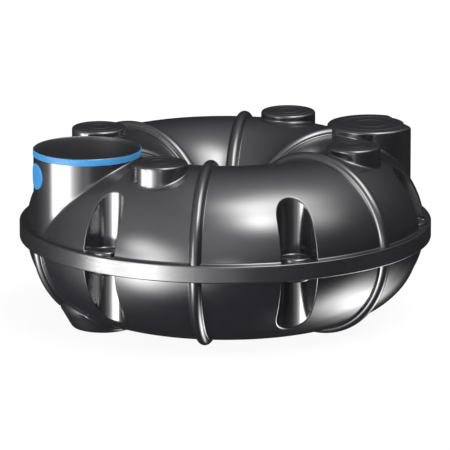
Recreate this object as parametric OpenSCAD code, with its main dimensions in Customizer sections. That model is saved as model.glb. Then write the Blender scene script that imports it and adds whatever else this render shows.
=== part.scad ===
// Ring-shaped cesspit tank: two moulded half shells of a hollow ring meet at a flange at mid-height.
// The origin is on the ground under the ring's upright axis. The open turret stands towards -X and
// the closed turret towards +X. Each half is six bays of sixty degrees with a moulded rib at each
// meeting plane and an upright flute in the middle of each outer wall.

/* [Ring] */
// Distance from the ring's upright axis to the middle of its tube
ring_r = 690; // [680:1:710]
// Outside radius of the tube
tube_r = 520; // [505:1:530]
// Wall of the moulded shells, turrets and domes
wall = 12; // [9:1:16]

/* [Flange] */
// How far the flange with its joint band stands out from the tube
flange_reach = 40; // [34:1:50]
// Height of the joint band, half of it on each shell
band_h = 104; // [90:2:120]
// Thickness of the joint band
band_t = 12; // [8:1:16]
// Width of the lip round the inside of the hole
inner_lip = 26; // [16:1:36]

/* [Ribs] */
// Radius of the half-round moulded rib
rib_r = 34; // [28:1:40]

/* [Flutes] */
// Radius of the upright flute
flute_r = 114; // [95:1:125]
// How far the flute's axis lies inside the tube's outer side
flute_in = 60; // [50:1:70]

/* [Turrets and domes] */
// Height of the turret and dome tops above the ring's crown
crown_over = 42; // [36:1:52]
// Outside radius of the open turret
mouth_r = 324; // [300:1:326]
// Width of the flange left between the open turret's outer side and the joint band
mouth_edge = 23; // [18:1:30]
// Outside radius of the closed turret
hatch_r = 265; // [245:1:280]
// How far the closed turret's flat outer side lies inside the tube's outer side
hatch_edge = 53; // [46:1:62]
// Distance from the closed turret's axis to its flat outer side
hatch_flat = 204; // [190:1:215]
// Outside radius of a small dome
dome_r = 167; // [150:1:175]
// How far a dome's axis lies outside the middle of the tube
dome_out = 121; // [110:1:130]
// Angle from the line through the turrets to a dome
dome_turn = 40; // [38:1:42]
// Rounding of the top edges
edge_round = 16; // [10:1:20]
// Height of the raised rings on the closed tops
ring_rise = 4; // [2:1:6]

/* [Inlet and rim] */
// How far the seal and the inlet cover stand proud of the turret
proud = 7; // [5:1:9]
// Distance from the rim down to the top of the blue seal
seal_drop = 4; // [3:1:6]
// Clearance between the seal and what it passes on the ring's crown
seal_gap = 0.5; // [0.3:0.1:1]
// Radius of the inlet bore through the turret wall
inlet_r = 72; // [60:1:76]
// Distance from the rim down to the middle of the inlet
inlet_drop = 150; // [145:1:165]
// Width of the cover's edge outside the inlet bore
cover_edge = 8; // [5:1:12]
// Clearance all round between the cover's plug and the inlet bore
plug_gap = 0.5; // [0.3:0.1:1]

/* [Sumps] */
// Radius of a sump's flat bottom
sump_r = 183; // [170:1:195]
// Radius of a sump where its steep part starts
sump_top_r = 256; // [245:1:265]
// Height of the steep part above the ground
sump_step = 126; // [115:1:135]
// How far a sump's axis lies outside the middle of the tube
sump_out = 105; // [95:1:115]

/* [Hidden] */

$fn = 96;
// Sides of the great circles, whose trimmed edges are steep
fine = 256;
// Turn of every round cutter, so that its seam stays off the planes where bays meet
seam_turn = 37;
// Degrees that a bay's round stock runs past its meeting planes before it is cut there
overrun = 2;
moulded = [0.16, 0.16, 0.18];
sky_blue = [0.29, 0.59, 0.84];
bays = 6;
bay_turn = 360 / bays;
// Height of the flange plane above the ground, where the lower ribs and the sumps rest
mid_z = tube_r + rib_r;
lip_h = band_h / 2;
tube_edge = ring_r + tube_r;
band_r = tube_edge + flange_reach;
lip_r = band_r - band_t;
flute_at = tube_edge - flute_in;
crown_rise = tube_r + crown_over;
mouth_at = lip_r - mouth_edge - mouth_r;
hatch_at = tube_edge - hatch_edge - hatch_flat;
dome_at = ring_r + dome_out;
sump_at = ring_r + sump_out;
// Inner edge of the flange plate, behind the deepest point of the flutes
ledge_r = flute_at - flute_r - 2 * wall;
// Half width of a flute's side walls beside its axis, as a share of its radius
flute_side = 0.98;
// Depth to which the open turret is let into the flange
seat = 6;
// More than the height of half the tank, for cutting shapes
tall = 2 * tube_r;

// Half of a ring of tube radius r, from azimuth start over the given sweep and from height low up.
module half_tube(r, start, sweep, low) {
    rotate([0, 0, start])
        rotate_extrude(angle = sweep, $fn = fine)
            intersection() {
                translate([ring_r, 0]) circle(r, $fn = fine);
                translate([0, low]) square([2 * ring_r, tall]);
            }
}

// The whole tube with radius r, for trimming what stands on it or passes through it.
module whole_tube(r) {
    rotate_extrude($fn = fine) translate([ring_r, 0]) circle(r, $fn = fine);
}

// A ring segment of rectangular section from radius r0 to r1 and from height z0 to z1.
module band_piece(r0, r1, z0, z1, start, sweep) {
    rotate([0, 0, start])
        rotate_extrude(angle = sweep, $fn = fine)
            translate([r0, z0]) square([r1 - r0, z1 - z0]);
}

// The space of bay i between its two meeting planes.
module bay_space(i) {
    reach = 2 * band_r;
    rotate([0, 0, (i - 1) * bay_turn])
        translate([0, 0, -1])
            linear_extrude(tall)
                polygon([[0, 0], [reach, 0], [reach * cos(bay_turn), reach * sin(bay_turn)]]);
}

// The upright column that hollows out the flute of bay i above height z0: round inside, with side
// walls that open outwards along lines from the ring's axis.
module flute_column(i, r, z0) {
    side = r * flute_side;
    spread = 2;
    rotate([0, 0, (i - 0.5) * bay_turn])
        translate([0, 0, z0]) {
            translate([flute_at, 0, 0]) cylinder(r = r, h = tall);
            linear_extrude(tall)
                polygon([
                    [flute_at, -side],
                    [flute_at * spread, -side * spread],
                    [flute_at * spread, side * spread],
                    [flute_at, side]
                ]);
        }
}

// The outline of a round cap with a rounded top edge, turned about its own axis.
module round_cap(r, top, bottom, edge) {
    rotate_extrude()
        union() {
            translate([0, bottom]) square([r, top - edge - bottom]);
            translate([0, bottom]) square([r - edge, top - bottom]);
            intersection() {
                translate([r - edge, top - edge]) circle(edge);
                translate([0, top - edge]) square([r, edge]);
            }
        }
}

// The raised rings on a closed top of radius r.
module top_rings(r, top) {
    for (share = [0.34, 0.68])
        rotate_extrude()
            translate([r * share, top - 1]) square([r * 0.07, ring_rise + 1]);
}

// Everything outside the flat side of the closed turret, moved in by the given inset.
module flat_side(inset) {
    translate([hatch_at + hatch_flat - inset, -tall / 2, -tall / 2])
        cube([tall, tall, 2 * tall]);
}

// The body of the closed turret, smaller by the inset all round.
module hatch_form(inset) {
    difference() {
        translate([hatch_at, 0, 0])
            round_cap(hatch_r - inset, crown_rise - inset, 0, edge_round);
        flat_side(inset);
    }
}

// The axis of dome i: 1 and 4 stand beside the closed turret, 2 and 3 beside the open one.
function dome_azimuth(i) =
    [dome_turn, 180 - dome_turn, 180 + dome_turn, 360 - dome_turn][i - 1];

module dome_form(i, inset) {
    rotate([0, 0, dome_azimuth(i)])
        translate([dome_at, 0, 0])
            round_cap(dome_r - inset, crown_rise - inset, tube_r / 2, edge_round);
}

// The openings that the turrets and domes need in the upper shell.
module upper_openings() {
    translate([-mouth_at, 0, lip_h - seat]) rotate([0, 0, seam_turn]) cylinder(r = mouth_r, h = tall);
    difference() {
        translate([hatch_at, 0, lip_h]) rotate([0, 0, seam_turn]) cylinder(r = hatch_r, h = tall);
        flat_side(0);
    }
    for (i = [1:4])
        rotate([0, 0, dome_azimuth(i)])
            translate([dome_at, 0, tube_r / 2])
                cylinder(r = dome_r, h = tall);
}

// Everything on the outer side of the open turret's axis, where its wall takes the rib's place.
module outside_mouth() {
    translate([-mouth_at - tall, -tall / 2, -1])
        cube([tall, tall, 2 * tall]);
}

// The body of a sump below the flange plane, smaller by the inset all round.
module sump_form(side, inset) {
    bottom = -mid_z + inset;
    step = -mid_z + sump_step;
    top = -tube_r / 2;
    translate([side * sump_at, 0, 0])
        rotate([0, 0, seam_turn])
            rotate_extrude()
                polygon([
                    [0, bottom],
                    [sump_r - inset, bottom],
                    [sump_top_r - inset, step],
                    [sump_top_r + 8 - inset, top],
                    [0, top]
                ]);
}

// One bay of a half shell, seen as an upper one: its lips, its flute wall and its hollow.
module shell_bay(i) {
    start = (i - 1) * bay_turn - overrun;
    sweep = bay_turn + 2 * overrun;
    intersection() {
        bay_space(i);
        difference() {
            union() {
                difference() {
                    half_tube(tube_r, start, sweep, 0);
                    flute_column(i, flute_r, lip_h - wall / 2);
                }
                band_piece(ledge_r, lip_r, 0, lip_h, start, sweep);
                band_piece(ring_r - tube_r - inner_lip, ring_r - tube_r + wall, 0, lip_h, start, sweep);
            }
            difference() {
                half_tube(tube_r - wall, start - 1, sweep + 2, -1);
                flute_column(i, flute_r + wall, lip_h - wall);
            }
        }
    }
}

// A half-round rib over the tube at azimuth (i - 1) * 60, seen as an upper one.
module rib_arch(i) {
    rotate([0, 0, (i - 1) * bay_turn])
        intersection() {
            translate([ring_r, 0, 0])
                rotate([90, 0, 0])
                    rotate_extrude(angle = 180, $fn = fine)
                        translate([tube_r, 0]) circle(rib_r);
            translate([0, -2 * rib_r, lip_h]) cube([2 * ring_r, 4 * rib_r, tall]);
        }
}

module upper_bay(i) {
    color(moulded)
        translate([0, 0, mid_z])
            difference() {
                shell_bay(i);
                upper_openings();
            }
}

module lower_bay(i) {
    color(moulded)
        translate([0, 0, mid_z])
            difference() {
                mirror([0, 0, 1]) shell_bay(i);
                sump_form(-1, 0);
                sump_form(1, 0);
            }
}

module upper_rib(i) {
    color(moulded)
        translate([0, 0, mid_z])
            difference() {
                rib_arch(i);
                whole_tube(tube_r);
                upper_openings();
                mouth_wall(0, mouth_r + proud + seal_gap, tube_r, tall);
                outside_mouth();
            }
}

module lower_rib(i) {
    color(moulded)
        translate([0, 0, mid_z])
            difference() {
                mirror([0, 0, 1]) rib_arch(i);
                whole_tube(tube_r);
                sump_form(-1, 0);
                sump_form(1, 0);
            }
}

module joint_band(i) {
    color(moulded)
        translate([0, 0, mid_z])
            band_piece(lip_r, band_r, -lip_h, lip_h, (i - 1) * bay_turn, bay_turn);
}

// The open turret: a tube trimmed to the inside of the ring, with the inlet bored through it.
module open_turret() {
    color(moulded)
        translate([0, 0, mid_z])
            difference() {
                translate([-mouth_at, 0, lip_h - seat]) cylinder(r = mouth_r, h = crown_rise - lip_h + seat);
                translate([-mouth_at, 0, 0]) cylinder(r = mouth_r - wall, h = tall);
                whole_tube(tube_r - wall);
                inlet_rod(inlet_r, 2 * mouth_r);
            }
}

// A level rod through the inlet, from inside the turret outwards.
module inlet_rod(r, length) {
    translate([-mouth_at, 0, crown_rise - inlet_drop])
        rotate([0, -90, 0])
            cylinder(r = r, h = length);
}

// A round wall about the open turret's axis between two radii, as tall as the turret.
module mouth_wall(r0, r1, z0, z1) {
    translate([-mouth_at, 0, z0])
        rotate([0, 0, seam_turn])
            difference() {
                cylinder(r = r1, h = z1 - z0);
                if (r0 > 0) translate([0, 0, -1]) cylinder(r = r0, h = z1 - z0 + 2);
            }
}

module rim_seal() {
    color(sky_blue)
        translate([0, 0, mid_z])
            mouth_wall(mouth_r, mouth_r + proud, tube_r + seal_gap, crown_rise - seal_drop);
}

// The inlet cover: a curved disc on the turret's outside, with a plug that fits the inlet bore.
module inlet_cover() {
    color(sky_blue)
        translate([0, 0, mid_z])
            union() {
                intersection() {
                    mouth_wall(mouth_r, mouth_r + proud, lip_h, crown_rise);
                    inlet_rod(inlet_r + cover_edge, 2 * mouth_r);
                }
                intersection() {
                    mouth_wall(mouth_r - wall, mouth_r + 1, lip_h, crown_rise);
                    inlet_rod(inlet_r - plug_gap, 2 * mouth_r);
                }
            }
}

module closed_turret() {
    color(moulded)
        translate([0, 0, mid_z])
            union() {
                difference() {
                    hatch_form(0);
                    hatch_form(wall);
                    whole_tube(tube_r - wall);
                }
                difference() {
                    translate([hatch_at, 0, 0]) top_rings(hatch_r, crown_rise);
                    flat_side(0);
                }
            }
}

module dome(i) {
    color(moulded)
        translate([0, 0, mid_z])
            union() {
                difference() {
                    dome_form(i, 0);
                    dome_form(i, wall);
                    whole_tube(tube_r - wall);
                }
                rotate([0, 0, dome_azimuth(i)])
                    translate([dome_at, 0, 0])
                        top_rings(dome_r, crown_rise);
            }
}

module sump(side) {
    color(moulded)
        translate([0, 0, mid_z])
            difference() {
                sump_form(side, 0);
                sump_form(side, wall);
                whole_tube(tube_r - wall);
            }
}

upper_bay(1);  // upper_bay_1
upper_bay(2);  // upper_bay_2
upper_bay(3);  // upper_bay_3
upper_bay(4);  // upper_bay_4
upper_bay(5);  // upper_bay_5
upper_bay(6);  // upper_bay_6
lower_bay(1);  // lower_bay_1
lower_bay(2);  // lower_bay_2
lower_bay(3);  // lower_bay_3
lower_bay(4);  // lower_bay_4
lower_bay(5);  // lower_bay_5
lower_bay(6);  // lower_bay_6
upper_rib(1);  // upper_rib_1
upper_rib(2);  // upper_rib_2
upper_rib(3);  // upper_rib_3
upper_rib(4);  // upper_rib_4
upper_rib(5);  // upper_rib_5
upper_rib(6);  // upper_rib_6
lower_rib(1);  // lower_rib_1
lower_rib(2);  // lower_rib_2
lower_rib(3);  // lower_rib_3
lower_rib(4);  // lower_rib_4
lower_rib(5);  // lower_rib_5
lower_rib(6);  // lower_rib_6
joint_band(1);  // joint_band_1
joint_band(2);  // joint_band_2
joint_band(3);  // joint_band_3
joint_band(4);  // joint_band_4
joint_band(5);  // joint_band_5
joint_band(6);  // joint_band_6
open_turret();
rim_seal();
inlet_cover();
closed_turret();
dome(1);  // dome_1
dome(2);  // dome_2
dome(3);  // dome_3
dome(4);  // dome_4
sump(-1);  // sump_open_side
sump(1);  // sump_closed_side
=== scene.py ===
# %% [markdown]
# # A ring-shaped cesspit tank
#
# The tank is a low hollow ring of glossy black plastic, moulded as an upper and a lower half that meet at
# a flange. The frame holds its solids in metres: +Z is up, the origin is on the ground under the ring's
# axis, the open turret stands towards -X and the closed one towards +X. The solids are exact, but a
# glossy surface shows every facet, so each one gets a fine skin here that lies where the solid lies.

# %% Load the frame
import bpy
import numpy as np
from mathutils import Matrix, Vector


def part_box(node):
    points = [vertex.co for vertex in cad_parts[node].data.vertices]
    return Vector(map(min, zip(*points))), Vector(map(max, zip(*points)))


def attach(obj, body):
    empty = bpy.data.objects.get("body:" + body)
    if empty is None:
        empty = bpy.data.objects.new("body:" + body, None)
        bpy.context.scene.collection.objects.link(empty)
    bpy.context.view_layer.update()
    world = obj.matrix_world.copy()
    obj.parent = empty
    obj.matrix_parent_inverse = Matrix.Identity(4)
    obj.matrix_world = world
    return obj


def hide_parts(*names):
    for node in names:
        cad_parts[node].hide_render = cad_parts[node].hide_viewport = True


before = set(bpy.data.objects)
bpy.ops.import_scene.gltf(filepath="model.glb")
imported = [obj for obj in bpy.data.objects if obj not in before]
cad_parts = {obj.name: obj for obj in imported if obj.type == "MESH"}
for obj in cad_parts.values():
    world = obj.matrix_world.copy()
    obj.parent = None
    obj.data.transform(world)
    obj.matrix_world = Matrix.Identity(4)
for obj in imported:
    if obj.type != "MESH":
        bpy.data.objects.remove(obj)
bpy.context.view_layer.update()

# %% [markdown]
# ## Sizes
#
# Every skin is worked out from the same few sizes as the solids. Heights are measured from the flange
# plane, which is MID above the ground, because the tank is nearly the same above and below it.

# %% Sizes of the tank, in metres
low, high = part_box("joint_band_1")
MID = (low.z + high.z) / 2
LIP_H = (high.z - low.z) / 2
RING_R = 0.690
TUBE_R = 0.520
WALL = 0.012
BAND_R = 1.250
LIP_R = 1.238
INNER_R = RING_R - TUBE_R - 0.026
RIB_R = 0.034
FLUTE_R = 0.107
FLUTE_AT = 1.128
CROWN = 0.562
MOUTH_R = 0.324
MOUTH_AT = 0.891
HATCH_R = 0.265
HATCH_AT = 0.953
HATCH_FLAT = 0.196
DOME_R = 0.167
DOME_AT = 0.811
DOME_AZIMUTHS = [40, 140, 220, 320]
SUMP_R = 0.183
SUMP_TOP_R = 0.256
SUMP_STEP = 0.126
SUMP_AT = 0.795
PROUD = 0.007
INLET_R = 0.072
INLET_DROP = 0.150
print("flange plane at", round(MID, 4), "m, half of the band", round(LIP_H, 4), "m")


# %% [markdown]
# ## From a grid of points to a mesh
#
# A skin is a sheet of points with two parameters, one along its rows and one along its columns. One
# helper joins neighbouring points by four-sided faces. It can close the sheet round either way, and a
# row that shrinks to a pole becomes triangles when doubled points are merged.

# %% Grid helpers
def grid_faces(rows, cols, wrap_cols=False, flip=False, start=0):
    """Four corners per face: point (i, j) is joined to (i, j+1), (i+1, j+1) and (i+1, j)."""
    i = np.arange(rows - 1)[:, None]
    j = np.arange(cols if wrap_cols else cols - 1)[None, :]
    k = (j + 1) % cols
    a, b = i * cols + j, i * cols + k
    c, d = (i + 1) * cols + k, (i + 1) * cols + j
    quads = np.stack(np.broadcast_arrays(a, b, c, d), -1).reshape(-1, 4) + start
    return quads[:, ::-1] if flip else quads


def new_piece(name, points, faces, sharp=35):
    """A mesh object from points (n, 3) and faces, smooth except where faces meet at more than sharp degrees."""
    mesh = bpy.data.meshes.new(name)
    mesh.from_pydata(np.asarray(points, float).tolist(), [], [list(map(int, f)) for f in faces])
    piece = bpy.data.objects.new(name, mesh)
    bpy.context.scene.collection.objects.link(piece)
    tidy_mesh(piece, sharp)
    return piece


def tidy_mesh(piece, sharp=35, outwards=True):
    """Merges doubled points, drops empty faces, turns the faces outwards and sets smooth shading."""
    import bmesh
    work = bmesh.new()
    work.from_mesh(piece.data)
    bmesh.ops.remove_doubles(work, verts=work.verts, dist=2e-5)
    bmesh.ops.dissolve_degenerate(work, edges=work.edges, dist=1e-6)
    if outwards:
        bmesh.ops.recalc_face_normals(work, faces=work.faces)
    work.to_mesh(piece.data)
    work.free()
    piece.data.shade_smooth()
    piece.data.set_sharp_from_angle(angle=np.radians(sharp))


def turned(points, degrees):
    """The points turned about the ring's upright axis."""
    a = np.radians(degrees)
    x, y, z = np.moveaxis(np.asarray(points, float), -1, 0)
    return np.stack([x * np.cos(a) - y * np.sin(a), x * np.sin(a) + y * np.cos(a), z], -1)


def ease(first, last, count, power=1.0):
    """Numbers from first to last whose steps grow by the given power."""
    return first + (last - first) * np.linspace(0, 1, count) ** power


# %% [markdown]
# ## The shell's skin
#
# One bay of a half shell is a sixty-degree piece of a ring, with a flange plate and an upright flute cut
# into its outer wall. In the real mould every edge is rounded, and it is those roundings that catch the
# light. A field makes them easy: a formula gives each point in space its distance from the skin, and two
# forms are joined or cut with an arc of a chosen radius. Lines are then followed from the middle of the
# tube outwards until the field is zero, which gives one point of the skin for each pair of angles.

# %% The field of one bay, with its flute in the plane y = 0
RIM, FILLET, FLUTE_OPEN, BOSS_H = 0.007, 0.010, np.radians(5.5), 0.020


def round_cut(a, b, r):
    """Both forms at once: the larger of two distances, with a convex arc of radius r along their edge."""
    return np.minimum(-r, np.maximum(a, b)) + np.hypot(np.maximum(r + a, 0), np.maximum(r + b, 0))


def round_join(a, b, r):
    """Either form: the smaller of two distances, with a hollow arc of radius r along their edge."""
    return np.maximum(r, np.minimum(a, b)) - np.hypot(np.maximum(r - a, 0), np.maximum(r - b, 0))


def flute_field(x, y):
    """Distance in plan from the flute: a circle whose two tangents open outwards by FLUTE_OPEN."""
    tip = FLUTE_AT - FLUTE_R / np.sin(FLUTE_OPEN)
    run = (x - tip) * np.cos(FLUTE_OPEN) + np.abs(y) * np.sin(FLUTE_OPEN)
    circle = np.hypot(x - FLUTE_AT, y) - FLUTE_R
    side = np.abs(y) * np.cos(FLUTE_OPEN) - (x - tip) * np.sin(FLUTE_OPEN)
    return np.where(run > (FLUTE_AT - tip) * np.cos(FLUTE_OPEN), side, circle)


def bay_field(x, y, z):
    """The tube less its flute, joined to the flange plates: below zero inside, in metres."""
    rho = np.hypot(x, y)
    tube = np.hypot(rho - RING_R, z) - TUBE_R
    fluted = round_cut(tube, -flute_field(x, y), RIM)
    plate = np.maximum(np.abs(z) - LIP_H, np.maximum(rho - LIP_R, FLUTE_AT - FLUTE_R - 0.03 - rho))
    boss = np.hypot(x - FLUTE_AT - 0.004, y) - (FLUTE_R - 0.012)
    boss = round_cut(boss, np.abs(z) - LIP_H - BOSS_H, 0.016)
    plate = np.minimum(plate, boss)
    lip = np.maximum(np.abs(z) - LIP_H, np.maximum(INNER_R - rho, rho - RING_R))
    return np.minimum(round_join(fluted, plate, FILLET), round_join(fluted, lip, FILLET))


# %% [markdown]
# The rows follow the section's angle and the columns the azimuth. Both crowd where the form turns
# quickly: at the flange, at the top of the flute, and along its two rims, whose azimuth changes with
# height. So the columns are bent to follow the rims.

# %% Rows and columns of a bay
def bay_angles():
    """Section angles (rows) and azimuths (rows by columns), in radians."""
    rows = np.concatenate([
        np.arange(3.6, 5.0, 0.35), np.arange(5.0, 11.0, 0.22), np.arange(11.0, 30.0, 1.0),
        np.arange(30.0, 44.0, 0.7), np.arange(44.0, 54.0, 0.3), np.arange(54.0, 60.0, 1.0),
        np.arange(60.0, 168.0, 2.4), np.arange(168.0, 180.01, 0.6),
    ])
    reach = RING_R + TUBE_R * np.cos(np.radians(rows))
    cosine = (reach ** 2 + FLUTE_AT ** 2 - FLUTE_R ** 2) / (2 * FLUTE_AT * np.maximum(reach, 0.3))
    rim = np.degrees(np.arccos(np.clip(cosine, -1, 1)))
    tip = FLUTE_AT - FLUTE_R / np.sin(FLUTE_OPEN)
    side = np.degrees(FLUTE_OPEN - np.arcsin(tip * np.sin(FLUTE_OPEN) / np.maximum(reach, 0.3)))
    touch = np.hypot(FLUTE_AT - FLUTE_R * np.sin(FLUTE_OPEN), FLUTE_R * np.cos(FLUTE_OPEN))
    rim = np.where(reach > touch, side, rim)
    end = np.degrees(np.arccos((FLUTE_AT - FLUTE_R - RING_R) / TUBE_R))
    rim = np.where(rows > end, 0.0, rim)
    rim = np.sqrt(rim ** 2 + 1.6 ** 2) + np.clip((rows - end) / 30.0, 0, 1) * 4.0
    inside = np.sin(np.linspace(0, 1, 17) * np.pi / 2)
    band = np.array([0.08, 0.16, 0.25, 0.35, 0.46, 0.58, 0.72, 0.9])
    outside = ease(0, 1, 13, 1.6)[1:]
    half = np.concatenate([
        (rim[:, None] - 0.12) * inside[None, :],
        rim[:, None] - 0.12 + band[None, :],
        rim[:, None] + 0.78 + (30.0 - rim[:, None] - 0.78) * outside[None, :],
    ], 1)
    azimuth = np.concatenate([-half[:, :0:-1], half], 1)
    return np.radians(rows), np.radians(azimuth)


def follow_lines(section, azimuth, level):
    """Walks each line from the tube's middle circle outwards to where the field reaches the level."""
    theta = np.broadcast_to(section[:, None], azimuth.shape)

    def point(t):
        rho = RING_R + t * np.cos(theta)
        return rho * np.cos(azimuth), rho * np.sin(azimuth), t * np.sin(theta)

    before = np.full(azimuth.shape, 0.25)
    found = np.zeros(azimuth.shape, bool)
    after = before.copy()
    for t in np.arange(0.25, 0.66, 0.002):
        crossed = ~found & (bay_field(*point(np.full(azimuth.shape, t + 0.002))) > level)
        after[crossed] = t + 0.002
        before[crossed] = t
        found |= crossed
    for _ in range(22):
        middle = (before + after) / 2
        out = bay_field(*point(middle)) > level
        after = np.where(out, middle, after)
        before = np.where(out, before, middle)
    return np.stack(point((before + after) / 2), -1)


section, azimuth = bay_angles()
outer_skin = follow_lines(section, azimuth, 0.0)
inner_skin = follow_lines(section, azimuth, -WALL)
print("one bay:", outer_skin.shape[0], "rows by", outer_skin.shape[1], "columns")


# %% [markdown]
# The two skins, twelve millimetres apart, close into one wall at their four edges. The bay is then turned
# into each of its six places, and mirrored for the lower half.

# %% Bays of the two half shells
def bay_mesh(name, degrees, lower):
    """Outer skin, inner skin turned the other way, and four strips that join their borders."""
    rows, cols = outer_skin.shape[:2]
    both = np.concatenate([outer_skin.reshape(-1, 3), inner_skin.reshape(-1, 3)])
    if lower:
        both = both * [1, 1, -1]
    both = turned(both, degrees) + [0, 0, MID]
    n = rows * cols
    top, bottom = np.arange(cols), (rows - 1) * cols + np.arange(cols)
    left, right = np.arange(rows) * cols, np.arange(rows) * cols + cols - 1
    strips = [np.stack([e[:-1], e[1:], e[1:] + n, e[:-1] + n], -1) for e in (top, bottom, left, right)]
    faces = np.concatenate([grid_faces(rows, cols), grid_faces(rows, cols, flip=True, start=n)] + strips)
    return new_piece(name, both, faces)


def bay_normals(piece, degrees, lower):
    """Gives each point of the outer skin the field's own slope as its normal, so that highlights run true."""
    mesh = piece.data
    count = len(mesh.vertices)
    place = np.zeros(count * 3)
    mesh.vertices.foreach_get("co", place)
    place = turned(place.reshape(-1, 3) - [0, 0, MID], -degrees)
    if lower:
        place = place * [1, 1, -1]
    x, y, z = place.T
    h = 4e-4
    slope = np.stack([
        bay_field(x + h, y, z) - bay_field(x - h, y, z),
        bay_field(x, y + h, z) - bay_field(x, y - h, z),
        bay_field(x, y, z + h) - bay_field(x, y, z - h),
    ], -1)
    slope /= np.maximum(np.linalg.norm(slope, axis=1, keepdims=True), 1e-9)
    field = bay_field(x, y, z)
    plain = np.zeros(count * 3)
    mesh.vertex_normals.foreach_get("vector", plain)
    if lower:
        slope = slope * [1, 1, -1]
    normal = plain.reshape(-1, 3)
    on_outer = np.abs(field) < 6e-4
    normal[on_outer] = turned(slope[on_outer], degrees)
    mesh.normals_split_custom_set_from_vertices(normal.tolist())


PIECES = []
for half in ("upper", "lower"):
    for i in range(1, 7):
        angle = (i - 0.5) * 60
        bay = bay_mesh(f"{half}_bay_skin_{i}", angle, half == "lower")
        PIECES.append((bay, [f"{half}_bay_{i}"], angle, half == "lower"))
print("bays:", len(PIECES), "faces in one:", len(PIECES[0][0].data.polygons))


# %% [markdown]
# The open turret needs its round opening in the two upper bays that it stands on, and the feet need
# theirs below. A Boolean with a plain tool cuts them, and the tool is thrown away.

# %% Openings in the bays
def round_tool(cx, levels, radii, count=160):
    """A closed turned form about an upright axis at (cx, 0): radii at given heights, ends closed by fans."""
    a = np.arange(count) * 2 * np.pi / count
    ring = np.stack([
        cx + np.outer(radii, np.cos(a)), np.outer(radii, np.sin(a)),
        np.repeat(np.array(levels)[:, None], count, 1),
    ], -1).reshape(-1, 3)
    faces = grid_faces(len(levels), count, wrap_cols=True).tolist()
    faces += [list(range(count))[::-1], list(range((len(levels) - 1) * count, len(levels) * count))]
    return new_piece("tool", ring, faces)


def cut(piece, tool):
    """Cuts the tool out of the piece and keeps the result as the piece's mesh."""
    step = piece.modifiers.new("cut", "BOOLEAN")
    step.object = tool
    step.operation = "DIFFERENCE"
    step.solver = "EXACT"
    graph = bpy.context.evaluated_depsgraph_get()
    result = bpy.data.meshes.new_from_object(piece.evaluated_get(graph))
    piece.modifiers.clear()
    old = piece.data
    piece.data = result
    bpy.data.meshes.remove(old)


mouth_tool = round_tool(-MOUTH_AT, [MID + LIP_H - 0.004, MID + 1], [MOUTH_R - 0.004] * 2)
sump_tools = [round_tool(side * SUMP_AT, [-0.1, MID - 0.2], [SUMP_TOP_R - 0.004] * 2) for side in (-1, 1)]
for bay, nodes, angle, lower in PIECES:
    if nodes[0] in ("upper_bay_3", "upper_bay_4"):
        cut(bay, mouth_tool)
    if nodes[0] in ("lower_bay_3", "lower_bay_4"):
        cut(bay, sump_tools[0])
    if nodes[0] in ("lower_bay_1", "lower_bay_6"):
        cut(bay, sump_tools[1])
for tool in [mouth_tool] + sump_tools:
    bpy.data.objects.remove(tool)
for bay, nodes, angle, lower in PIECES:
    bay_normals(bay, angle, lower)
print("openings cut")


# %% [markdown]
# ## Ribs
#
# A moulded rib is a half-round bead that runs over the tube where two bays meet, with small hollow
# fillets at both feet. It is a profile carried along the tube's section. Each profile point has a
# distance to the side and a height above the tube, and is put on the ring exactly, also near the hole
# where the ring curves most.

# %% Rib skin
def rib_profile():
    """Foot, fillet arc, bead arc, fillet arc, foot: (side, height) pairs from one side to the other."""
    r, f = RIB_R, 0.010
    c = np.sqrt((r + f) ** 2 - f ** 2)
    meet = np.degrees(np.arctan2(f, c))
    foot = np.radians(np.linspace(-90, -180 + meet, 7))
    foot = np.stack([c + f * np.cos(foot), f - 0.0007 + f * np.sin(foot)], -1)
    bead = np.radians(np.linspace(meet, 90, 15))
    bead = np.stack([r * np.cos(bead), r * np.sin(bead)], -1)
    side = np.concatenate([[[c, -0.003]], foot, bead[1:]])
    return np.concatenate([side, side[-2::-1] * [-1, 1]])


def rib_skin(name, place, parts, lower):
    """For each part, from one section angle to another, the profile is carried along the tube and capped."""
    profile = rib_profile()
    s, h = profile[:, 0], profile[:, 1]
    points, faces = [], []
    for first, last in parts:
        steps = max(int(abs(last - first) / 1.5), 8)
        share = np.linspace(0, 1, steps + 1)[:, None]
        start = np.full(len(s), np.radians(first))
        end = np.full(len(s), np.radians(last))
        if first < 6:
            start = np.arcsin((LIP_H - 0.002) / (TUBE_R + h))
        if last > 174:
            end = np.pi - np.arcsin((LIP_H - 0.002) / (TUBE_R + h))
        theta = start[None, :] + share * (end - start)[None, :]
        radius = TUBE_R + h[None, :]
        x = np.sqrt((RING_R + radius * np.cos(theta)) ** 2 - s[None, :] ** 2)
        y = np.broadcast_to(s[None, :], x.shape)
        z = radius * np.sin(theta) * (-1 if lower else 1)
        base = sum(len(p) for p in points)
        points.append(turned(np.stack([x, y, z], -1), place).reshape(-1, 3) + [0, 0, MID])
        cols = len(s)
        faces += grid_faces(steps + 1, cols, wrap_cols=True, start=base).tolist()
        faces += [list(range(base, base + cols)), list(range(base + steps * cols, base + (steps + 1) * cols))]
    return new_piece(name, np.concatenate(points), faces, sharp=50)


WHOLE = (5.74, 174.26)
UPPER_PARTS = {1: [(5.74, 26.4), (89.8, 174.26)], 4: [(103.3, 174.26)]}
LOWER_PARTS = {1: [(5.74, 45.8), (100.8, 174.26)], 4: [(5.74, 45.8), (100.8, 174.26)]}
for half, ends in (("upper", UPPER_PARTS), ("lower", LOWER_PARTS)):
    for i in range(1, 7):
        rib = rib_skin(f"{half}_rib_skin_{i}", (i - 1) * 60, ends.get(i, [WHOLE]), half == "lower")
        PIECES.append((rib, [f"{half}_rib_{i}"], None, None))
print("ribs:", 12)


# %% [markdown]
# ## The joint band
#
# A smooth band hides the seam of the two flanges. Its section is a slim rectangle with rounded outer
# corners, carried round the ring in six segments.

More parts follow.
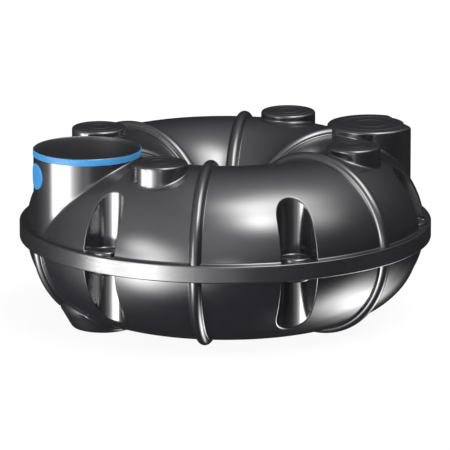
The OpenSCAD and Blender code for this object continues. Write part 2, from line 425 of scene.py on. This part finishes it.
# %% Joint band skin
def band_skin(name, start, count=60):
    """A rounded rectangular section carried through sixty degrees about the ring's axis, with flat ends."""
    r, deep = 0.0075, 0.0005
    corner = np.radians(np.linspace(0, 90, 7))
    up = np.stack([BAND_R - r + r * np.cos(corner), LIP_H - r + r * np.sin(corner)], -1)
    wall = np.stack([np.full(5, BAND_R), np.linspace(0, LIP_H - r, 6)[:-1]], -1)
    half = np.concatenate([wall, up, [[LIP_R - deep, LIP_H]]])
    section = np.concatenate([half, half[::-1] * [1, -1]])
    section = section[:-1]
    a = np.radians(start + np.linspace(0, 60, count + 1))[:, None]
    rho, z = section[:, 0][None, :], section[:, 1][None, :]
    points = np.stack([rho * np.cos(a), rho * np.sin(a), z + MID + 0 * a], -1).reshape(-1, 3)
    cols = len(section)
    faces = grid_faces(count + 1, cols, wrap_cols=True).tolist()
    faces += [list(range(cols)), list(range(count * cols, (count + 1) * cols))]
    return new_piece(name, points, faces, sharp=40)


for i in range(1, 7):
    PIECES.append((band_skin(f"joint_band_skin_{i}", (i - 1) * 60), [f"joint_band_{i}"], None, None))


# %% [markdown]
# ## Turrets, domes and feet
#
# Each is a form turned about its own upright axis and married to the ring. Its foot flares out on the
# ring's surface through a small hollow curve, as a mould-maker rounds such a joint. The foot's height is
# worked out for every direction, because the ring falls away differently on each side.

# %% Helpers for forms that stand on the ring
def ring_height(x, y, radius=TUBE_R, least=LIP_H):
    """Height of the ring's upper skin over a point in plan, never lower than the flange plate."""
    rho = np.hypot(x, y)
    return np.maximum(np.sqrt(np.maximum(radius ** 2 - (rho - RING_R) ** 2, 0)), least)


def flare(cx, cy, turn, radius, width, steps=7):
    """A hollow curve from the ring's skin, width outside the wall, up to the wall, width above the joint."""
    out_x, out_y = cx + (radius + width) * np.cos(turn), cy + (radius + width) * np.sin(turn)
    in_x, in_y = cx + radius * np.cos(turn), cy + radius * np.sin(turn)
    first = np.stack([radius + width, ring_height(out_x, out_y) - 0.0015], -1)
    joint = np.stack([radius, ring_height(in_x, in_y)], -1)
    last = joint + [0, 1] * np.full((1, 2), 1.0) * width
    t = np.linspace(0, 1, steps)[:, None, None]
    curve = (1 - t) ** 2 * first + 2 * t * (1 - t) * joint + t ** 2 * last
    sunk = first - [0.0, 0.006]
    return np.concatenate([sunk[None], curve])


def arc(cr, ch, r, start, end, steps):
    """Points of an arc in (radius, height)."""
    a = np.radians(np.linspace(start, end, steps))
    return np.stack([cr + r * np.cos(a), ch + r * np.sin(a)], -1)


def standing_form(name, cx, cy, radius, rows, count, depth=1.0):
    """Rows of (radius, height) for every direction, turned about the axis; the last row is a pole."""
    a = np.arange(count) * 2 * np.pi / count
    r, h = rows[..., 0], rows[..., 1]
    points = np.stack([cx + r * np.cos(a), cy + r * np.sin(a), MID + h * depth], -1)
    return points


# %% [markdown]
# A closed top carries two faint raised rings, each a few millimetres high with soft shoulders.

# %% Closed turret and small domes
def top_rows(edge_r, top, count):
    """From the wall's rounded edge inwards over the flat top with its two raised rings, to the pole."""
    rounding = 0.016
    rows = []
    for a in np.radians(np.linspace(0, 90, 8)):
        rows.append(np.stack([edge_r - rounding + rounding * np.cos(a),
                              np.full(count, top - rounding + rounding * np.sin(a))], -1))
    full = edge_r.max()
    rise, soft = 0.0026, 0.0036
    flat = []
    for share in (0.68, 0.34):
        inner, outer = full * share, full * (share + 0.07)
        flat += [(outer + soft, 0.0), (outer + soft * 0.4, rise * 0.1), (outer - soft * 0.4, rise * 0.9), (outer - soft, rise),
                 (inner + soft, rise), (inner + soft * 0.4, rise * 0.9), (inner - soft * 0.4, rise * 0.1), (inner - soft, 0.0)]
    for r, h in flat:
        rows.append(np.stack([np.full(count, r), np.full(count, top + h)], -1))
    rows.append(np.stack([np.full(count, 0.03), np.full(count, top)], -1))
    rows.append(np.stack([np.zeros(count), np.full(count, top)], -1))
    return rows


def closed_form(name, cx, cy, turn0, radius, flat, width, count=144):
    """A capped wall on the ring: flared foot, upright wall, rounded edge and ringed top."""
    a = np.arange(count) * 2 * np.pi / count
    edge = np.full(count, radius)
    if flat:
        level = flat / np.maximum(np.cos(a), 0.2)
        edge = -0.5 * (np.sqrt((level - radius) ** 2 + 0.006 ** 2) - level - radius)
        edge = np.minimum(edge, radius)
    foot = flare(cx, cy, a, edge, width)
    top_of_foot = foot[-1]
    wall = [top_of_foot * (1 - t) + np.stack([edge, np.full(count, CROWN - 0.016)], -1) * t
            for t in np.linspace(0, 1, 6)[1:-1]]
    rows = np.stack(list(foot) + wall + top_rows(edge, CROWN, count))
    points = standing_form(name, cx, cy, radius, rows, count)
    piece = new_piece(name, points.reshape(-1, 3), grid_faces(len(rows), count, wrap_cols=True), sharp=60)
    return piece


def thicken(piece):
    """A wall of the moulded thickness behind an open skin."""
    step = piece.modifiers.new("wall", "SOLIDIFY")
    step.thickness = WALL
    step.offset = -1
    graph = bpy.context.evaluated_depsgraph_get()
    result = bpy.data.meshes.new_from_object(piece.evaluated_get(graph))
    piece.modifiers.clear()
    piece.data = result
    return piece


closed = thicken(closed_form("closed_turret_skin", HATCH_AT, 0, 0, HATCH_R, HATCH_FLAT, 0.012, 192))
PIECES.append((closed, ["closed_turret"], None, None))
for i, place in enumerate(DOME_AZIMUTHS, 1):
    a = np.radians(place)
    dome = closed_form(f"dome_skin_{i}", DOME_AT * np.cos(a), DOME_AT * np.sin(a), 0, DOME_R, 0, 0.012)
    PIECES.append((thicken(dome), [f"dome_{i}"], None, None))
print("closed turret and domes:", 5)


# %% [markdown]
# The open turret is a plain tube with a rounded rim. Outside it flares onto the ring, and inside it runs
# down to where the ring's hollow opens.

# %% Open turret
def open_turret_skin(name, count=224):
    """Foot flare, outer wall, rim arc and inner wall, closed below inside the ring's wall."""
    a = np.arange(count) * 2 * np.pi / count
    outer = np.full(count, MOUTH_R)
    foot = flare(-MOUTH_AT, 0, a, outer, 0.012)
    inner_r = MOUTH_R - WALL
    x, y = -MOUTH_AT + inner_r * np.cos(a), inner_r * np.sin(a)
    bottom = np.maximum(ring_height(x, y, TUBE_R - WALL, LIP_H - 0.006) - 0.11, LIP_H - 0.006)
    rows = list(foot)
    rows += [foot[-1] * (1 - t) + np.stack([outer, np.full(count, CROWN - 0.005)], -1) * t
             for t in np.linspace(0, 1, 12)[1:]]
    for angle in np.radians([30, 60, 90, 120, 150, 180]):
        rows.append(np.stack([np.full(count, MOUTH_R - WALL / 2 + WALL / 2 * np.cos(angle)),
                              np.full(count, CROWN - 0.005 + 0.005 * np.sin(angle))], -1))
    rows += [np.stack([np.full(count, inner_r), (CROWN - 0.005) * (1 - t) + bottom * t], -1)
             for t in np.linspace(0, 1, 8)[1:]]
    rows.append(rows[0])
    rows = np.stack(rows)
    points = standing_form(name, -MOUTH_AT, 0, MOUTH_R, rows, count)
    return new_piece(name, points.reshape(-1, 3), grid_faces(len(rows), count, wrap_cols=True), sharp=60)


PIECES.append((open_turret_skin("open_turret_skin"), ["open_turret"], None, None))


# %% [markdown]
# Two blue pieces mark the inlet side: a seal round the rim and a round cover on the outer wall. The cover
# is a disc bent to the turret's curve, so its points are given by an angle round the turret and a height.

# %% Rim seal and inlet cover
def rim_seal_skin(name, count=224):
    """A slim ring with rounded edges carried round the turret just below its rim."""
    r0, r1, z0, z1, e = MOUTH_R - 0.001, MOUTH_R + 0.003, TUBE_R + 0.0005, CROWN - 0.004, 0.0018
    section = np.concatenate([
        [[r0, z0]], arc(r1 - e, z0 + e, e, -90, 0, 6), arc(r1 - e, z1 - e, e, 0, 90, 6), [[r0, z1]],
    ])
    a = (np.arange(count) * 2 * np.pi / count)[:, None]
    r, h = section[:, 0][None, :], section[:, 1][None, :]
    points = np.stack([-MOUTH_AT + r * np.cos(a), r * np.sin(a), MID + h + 0 * a], -1)
    points = np.concatenate([points, points[:1]])
    cols = len(section)
    return new_piece(name, points.reshape(-1, 3), grid_faces(count + 1, cols, wrap_cols=True), sharp=50)


def inlet_cover_skin(name, count=96):
    """A disc with a rounded edge on the turret's outer side, closed by its plug's face inside."""
    big = INLET_R + 0.008
    out = [(0, PROUD), (0.4, PROUD), (0.75, PROUD), (0.93, PROUD)]
    out += [(1 - 0.05 + 0.05 * np.sin(t), PROUD - 0.004 + 0.004 * np.cos(t)) for t in np.radians([20, 45, 70, 90])]
    out += [(1.0, 0.0005), (0.893, 0.0005), (0.893, -WALL - 0.0005), (0.5, -WALL - 0.0005), (0, -WALL - 0.0005)]
    share, lift = np.array(out).T
    a = np.arange(count) * 2 * np.pi / count
    side = big * np.outer(share, np.cos(a))
    up = big * np.outer(share, np.sin(a))
    radius = MOUTH_R + lift[:, None]
    x = -MOUTH_AT - np.sqrt(radius ** 2 - side ** 2)
    points = np.stack([x, side, MID + CROWN - INLET_DROP + up], -1)
    return new_piece(name, points.reshape(-1, 3), grid_faces(len(share), count, wrap_cols=True), sharp=50)


PIECES.append((rim_seal_skin("rim_seal_skin"), ["rim_seal"], None, None))
PIECES.append((inlet_cover_skin("inlet_cover_skin"), ["inlet_cover"], None, None))


# %% [markdown]
# The feet are shallow cups moulded under the lower shell. Their bottom edge is generously rounded, so
# that the tank slides without catching.

# %% Feet
def foot_skin(name, side, count=144):
    """Flare under the ring, steep wall, rounded bottom edge, flat bottom to the pole."""
    a = np.arange(count) * 2 * np.pi / count
    cx = side * SUMP_AT
    slope = (SUMP_TOP_R - SUMP_R) / SUMP_STEP
    step = MID - SUMP_STEP
    wide = np.full(count, SUMP_TOP_R)
    for _ in range(12):
        x, y = cx + wide * np.cos(a), wide * np.sin(a)
        meet = ring_height(x, y, TUBE_R, 0.0)
        wide = np.where(meet > step, SUMP_TOP_R - (meet - step) * slope,
                        SUMP_TOP_R + 8e-3 * (step - meet) / (step - TUBE_R / 2))
    foot = flare(cx, 0, a, wide, 0.016)
    e = 0.022
    rows = list(foot)
    ground = np.full(count, MID)
    wall_top = foot[-1]
    bend = np.stack([np.full(count, SUMP_TOP_R), np.full(count, step)], -1)
    use_bend = np.maximum(wall_top[:, 1] + 0.004, step)
    at_bend = np.stack([SUMP_TOP_R - (use_bend - step) * slope, use_bend], -1)
    rows.append(at_bend)
    low_edge = np.stack([np.full(count, SUMP_R + e * slope), ground - e], -1)
    rows += [at_bend * (1 - t) + low_edge * t for t in (0.3, 0.6, 1.0)]
    bottom = np.stack([np.full(count, SUMP_R - e), ground], -1)
    corner = np.stack([np.full(count, SUMP_R), ground], -1)
    rows += [(1 - t) ** 2 * low_edge + 2 * t * (1 - t) * corner + t ** 2 * bottom for t in (0.2, 0.4, 0.6, 0.8, 1.0)]
    rows += [bottom * [s, 1] for s in (0.6, 0.25, 0.0)]
    rows = np.stack(rows)
    points = standing_form(name, cx, 0, SUMP_R, rows, count, depth=-1)
    return thicken(new_piece(name, points.reshape(-1, 3), grid_faces(len(rows), count, wrap_cols=True), sharp=60))


PIECES.append((foot_skin("foot_skin_open_side", -1), ["sump_open_side"], None, None))
PIECES.append((foot_skin("foot_skin_closed_side", 1), ["sump_closed_side"], None, None))
print("pieces in all:", len(PIECES))


# %% [markdown]
# ## Finishes
#
# A finish is a small network of nodes. Two little helpers keep it readable: Sum wraps a socket, so that
# ordinary arithmetic on it adds Math nodes, and Finish makes any other node in one call.

# %% Node helpers
class Sum:
    """Wraps a value socket. Arithmetic with numbers or other wrapped sockets adds a Math node."""

    def __init__(self, tree, socket):
        self.tree, self.socket = tree, socket

    def _math(self, kind, first, second=None, clamp=False):
        node = self.tree.nodes.new("ShaderNodeMath")
        node.operation = kind
        node.use_clamp = clamp
        for slot, value in zip(node.inputs, (first, second)):
            if isinstance(value, Sum):
                self.tree.links.new(value.socket, slot)
            elif value is not None:
                slot.default_value = value
        return Sum(self.tree, node.outputs[0])

    def __add__(self, other): return self._math("ADD", self, other)
    def __radd__(self, other): return self._math("ADD", other, self)
    def __sub__(self, other): return self._math("SUBTRACT", self, other)
    def __rsub__(self, other): return self._math("SUBTRACT", other, self)
    def __mul__(self, other): return self._math("MULTIPLY", self, other)
    def __rmul__(self, other): return self._math("MULTIPLY", other, self)
    def __truediv__(self, other): return self._math("DIVIDE", self, other)
    def __pow__(self, other): return self._math("POWER", self, other)
    def clamped(self): return self._math("ADD", self, 0.0, clamp=True)
    def exp(self): return self._math("EXPONENT", self)


class Finish:
    """A material under construction, with its Principled shader ready."""

    def __init__(self, name):
        self.material = bpy.data.materials.new(name)
        self.material.use_nodes = True
        self.tree = self.material.node_tree
        self.tree.nodes.clear()
        self.out = self.tree.nodes.new("ShaderNodeOutputMaterial")

    def node(self, kind, settings=None, output=0, **sockets):
        """Adds a node: settings first, then values or links of its sockets, whose spaces are written as _."""
        made = self.tree.nodes.new(kind)
        for key, value in (settings or {}).items():
            setattr(made, key, value)
        for key, value in sockets.items():
            slot = made.inputs[int(key[1:])] if key[0] == "i" and key[1:].isdigit() else made.inputs[key.replace("_", " ")]
            if isinstance(value, Sum):
                self.tree.links.new(value.socket, slot)
            elif hasattr(value, "is_output"):
                self.tree.links.new(value, slot)
            else:
                slot.default_value = value
        self.last = made
        return made.outputs[output]

    def value(self, kind, settings=None, output=0, **sockets):
        return Sum(self.tree, self.node(kind, settings, output, **sockets))

    def ramp(self, factor, stops):
        """A Color Ramp used as a number: stops are (position, grey)."""
        made = self.tree.nodes.new("ShaderNodeValToRGB")
        ramp = made.color_ramp
        while len(ramp.elements) < len(stops):
            ramp.elements.new(0.5)
        for element, (place, grey) in zip(ramp.elements, stops):
            element.position = place
            element.color = (grey, grey, grey, 1)
        self.tree.links.new(factor.socket, made.inputs[0])
        return Sum(self.tree, made.outputs[0])

    def done(self, shader):
        self.tree.links.new(shader, self.out.inputs["Surface"])
        return self.material


# %% [markdown]
# Rotationally moulded polyethylene is glossy but never perfectly flat: it has a faint orange-peel
# ripple, slow waves where the wall cooled unevenly, and a film of dust and fine scuffs that dulls the
# gloss in patches. Object coordinates are in metres, so each scale is a real one.

# %% Black moulded plastic
def moulded_plastic(name, streaks=False, paint_bore_light=False):
    """Black gloss; streaks brush it lengthwise, and the third switch paints the inside of the open turret a lighter
    grey, painted light standing in for light on its inner wall, and makes that wall rougher.
    """
    f = Finish(name)
    place = f.node("ShaderNodeTexCoord", output=3)
    waves = f.value("ShaderNodeTexNoise", Vector=place, Scale=5.0, Detail=0.0, Roughness=0.4)
    peel = f.value("ShaderNodeTexNoise", Vector=place, Scale=160.0, Detail=2.0, Roughness=0.5)
    dust = f.value("ShaderNodeTexNoise", Vector=place, Scale=14.0, Detail=6.0, Roughness=0.62)
    speck = f.value("ShaderNodeTexNoise", Vector=place, Scale=520.0, Detail=2.0, Roughness=0.7)
    film = f.ramp(dust, [(0.42, 0.0), (0.72, 1.0)])
    grain = f.ramp(speck, [(0.55, 0.0), (0.8, 1.0)])
    amount = (film * 0.6 + grain * film * 0.4).clamped()
    colour = f.node("ShaderNodeMix", {"data_type": "RGBA"}, output=2, Factor=amount * 0.35,
                    i6=(0.0135, 0.0130, 0.0160, 1), i7=(0.025, 0.0245, 0.027, 1))
    rough = 0.13 + waves * 0.04 + amount * 0.05
    # Painted light: inside the open turret's wall the colour is lightened to a pale grey in place of the light that
    # reaches the inner wall; its roughness is raised as well.
    if paint_bore_light:
        apart = f.node("ShaderNodeMapping", Vector=place, Location=(MOUTH_AT, 0, 0), Scale=(1.0, 1.0, 0.0))
        reach = f.value("ShaderNodeVectorMath", {"operation": "LENGTH"}, output=1, i0=apart)
        painted_light_mask = ((MOUTH_R - WALL * 0.75 - reach) * 800.0).clamped()
        colour = f.node("ShaderNodeMix", {"data_type": "RGBA"}, output=2, Factor=painted_light_mask, i6=colour,
                        i7=(0.032, 0.031, 0.035, 1))
        rough = rough + painted_light_mask * 0.25
    height = waves * 0.0006 + peel * 0.000005
    if streaks:
        squeeze = f.node("ShaderNodeMapping", Vector=place, Scale=(1.0, 1.0, 60.0))
        lines = f.value("ShaderNodeTexNoise", Vector=squeeze, Scale=7.0, Detail=3.0, Roughness=0.6)
        height = height + lines * 0.0007
        rough = rough + lines * 0.10
    bump = f.node("ShaderNodeBump", Height=height, Strength=0.6, Distance=1.0)
    return f.done(f.node("ShaderNodeBsdfPrincipled", Base_Color=colour, Roughness=rough, Normal=bump, IOR=1.6,
                         Specular_IOR_Level=1.0))


# %% [markdown]
# The blue parts are injection-moulded: finer, more even, with a soft satin gloss.

# %% Blue plastic
def blue_plastic(name):
    f = Finish(name)
    place = f.node("ShaderNodeTexCoord", output=3)
    cloud = f.value("ShaderNodeTexNoise", Vector=place, Scale=18.0, Detail=4.0, Roughness=0.55)
    peel = f.value("ShaderNodeTexNoise", Vector=place, Scale=400.0, Detail=2.0, Roughness=0.5)
    colour = f.node("ShaderNodeMix", {"data_type": "RGBA"}, output=2, Factor=(cloud * 1.4 - 0.2).clamped(),
                    i6=(0.040, 0.242, 0.54, 1), i7=(0.056, 0.282, 0.60, 1))
    bump = f.node("ShaderNodeBump", Height=peel * 0.00002, Strength=0.5, Distance=1.0)
    return f.done(f.node("ShaderNodeBsdfPrincipled", Base_Color=colour, Roughness=0.38 + cloud * 0.1, Normal=bump,
                         IOR=1.5))


black = moulded_plastic("moulded_black")
band_black = moulded_plastic("moulded_black_band", streaks=True)
# This finish carries painted light: a lighter grey painted inside the open turret.
painted_light_bore_black = moulded_plastic("moulded_black_bore_painted_light", paint_bore_light=True)
blue = blue_plastic("moulded_blue")

# %% Dress every piece and give it to the frame
for piece, nodes, _, _ in PIECES:
    finish, slot = (blue, "blue") if nodes[0] in ("rim_seal", "inlet_cover") else (black, "moulded")
    if nodes[0].startswith("joint_band"):
        finish = band_black
    if nodes[0] == "open_turret":
        finish = painted_light_bore_black
    piece.data.materials.clear()
    piece.data.materials.append(finish)
    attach(piece, "root")
    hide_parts(*nodes)
    piece.visible_glossy = nodes[0] != "rim_seal"
print("dressed:", len(PIECES))


# %% [markdown]
# ## Camera
#
# A long lens far away, a little above the tank, as in the picture: the band's ellipse gives the height
# of the view and the spacing of the ribs and flutes its distance.

# %% Camera
VIEW_TURN, VIEW_RISE, VIEW_FAR, VIEW_SPAN = -21.4, 13.5, 37.0, 2.735
right = np.array([np.cos(np.radians(VIEW_TURN)), np.sin(np.radians(VIEW_TURN)), 0])
toward = np.array([np.sin(np.radians(VIEW_TURN)), -np.cos(np.radians(VIEW_TURN)), 0])
aim = np.array([0, 0, MID + 0.0054]) - right * 0.002


def aimed(obj, place, target):
    """Puts an object at a place and turns its -Z axis to the target."""
    from mathutils import Vector
    obj.location = Vector(place)
    obj.rotation_euler = (Vector(target) - Vector(place)).to_track_quat("-Z", "Y").to_euler()


camera = bpy.data.objects.new("camera", bpy.data.cameras.new("camera"))
bpy.context.scene.collection.objects.link(camera)
rise = np.radians(VIEW_RISE)
aimed(camera, aim + VIEW_FAR * (toward * np.cos(rise) + np.array([0, 0, np.sin(rise)])), aim)
camera.data.sensor_width = 36
camera.data.lens = 36 * VIEW_FAR / VIEW_SPAN
camera.data.clip_end = 200
bpy.context.scene.camera = camera


# %% [markdown]
# ## Floor and lights
#
# The floor is pale and the picture's background is white. Black gloss shows little colour of its own, so
# the tank's shape is read from what it mirrors: a studio of soft lights far away on all sides. Each light
# is a round glow in the world, brightest in one direction and fading by a bell curve. Mirrored rays pass
# the floor, so that the lights placed low reach the lower half too.

# %% Floor
floor = new_piece("floor", [(-90, -90, 0), (90, -90, 0), (90, 90, 0), (-90, 90, 0)], [[0, 1, 2, 3]])
f = Finish("pale_floor")
light_path = f.tree.nodes.new("ShaderNodeLightPath")
seen = Sum(f.tree, light_path.outputs["Is Camera Ray"])
passing = sum((Sum(f.tree, light_path.outputs[name]) for name in
               ("Is Glossy Ray", "Is Transmission Ray", "Is Shadow Ray")), 0.0).clamped()
pale = f.node("ShaderNodeMix", {"data_type": "RGBA"}, output=2, Factor=seen,
              i6=(0.16, 0.16, 0.16, 1), i7=(1, 1, 1, 1))
matt = f.node("ShaderNodeBsdfDiffuse", Color=pale)
glow = f.node("ShaderNodeEmission", Color=(1, 1, 1, 1), Strength=1.0)
paper = f.node("ShaderNodeMixShader", i0=seen * 0.93, i1=matt, i2=glow)
clear = f.node("ShaderNodeBsdfTransparent")
f.done(f.node("ShaderNodeMixShader", i0=passing, i1=paper, i2=clear))
floor.data.materials.append(f.material)

# %% World
# Each light: degrees to the right of the view, degrees above the horizon, sharpness, strength.
LIGHTS = [
    (-52, -25, 34, 8.2), (29, 53, 40, 6.8), (101, -47, 35, 6.4), (111, 70, 5.5, 0.84),
    (-3, 32, 5.4, 0.77), (-73, 31, 4.3, 0.58), (83, 68, 29, 3.8), (35, 72, 44, 5.6),
    (126, -44, 66, 7.6), (-27, -19, 31, 2.9), (67, 46, 33, 2.6), (-81, -28, 15, 1.0),
    (-74, -12, 110, 11), (-51, 13, 70, 4.2), (147, -38, 110, 2.6), (1, -4, 110, 1.8),
    (-44, -13, 60, 9.5), (-64, -14, 60, 5.0), (-39, 5, 45, 4.4), (29, 52, 90, 2.5),
]
world = bpy.data.worlds.new("studio")
bpy.context.scene.world = world
world.use_nodes = True
tree = world.node_tree
tree.nodes.clear()
path = tree.nodes.new("ShaderNodeLightPath")
way = tree.nodes.new("ShaderNodeTexCoord")
bright = 0.018
for side, up, sharp, strong in LIGHTS:
    a, e = np.radians(side), np.radians(up)
    lean = tree.nodes.new("ShaderNodeVectorMath")
    lean.operation = "DOT_PRODUCT"
    lean.inputs[1].default_value = tuple((right * np.sin(a) + toward * np.cos(a)) * np.cos(e) + [0, 0, np.sin(e)])
    tree.links.new(way.outputs["Generated"], lean.inputs[0])
    bright = ((Sum(tree, lean.outputs["Value"]) - 1) * sharp).exp() * strong + bright
camera_ray = Sum(tree, path.outputs["Is Camera Ray"])
strength = bright * (1 - camera_ray) + camera_ray
background = tree.nodes.new("ShaderNodeBackground")
background.inputs["Color"].default_value = (1, 1, 1, 1)
tree.links.new(strength.socket, background.inputs["Strength"])
out = tree.nodes.new("ShaderNodeOutputWorld")
tree.links.new(background.outputs[0], out.inputs[0])
print("lights:", len(LIGHTS))

# %% Picture settings
bpy.context.scene.view_settings.view_transform = "Standard"

print("triangles:", sum(sum(len(p.vertices) - 2 for p in piece[0].data.polygons) for piece in PIECES))
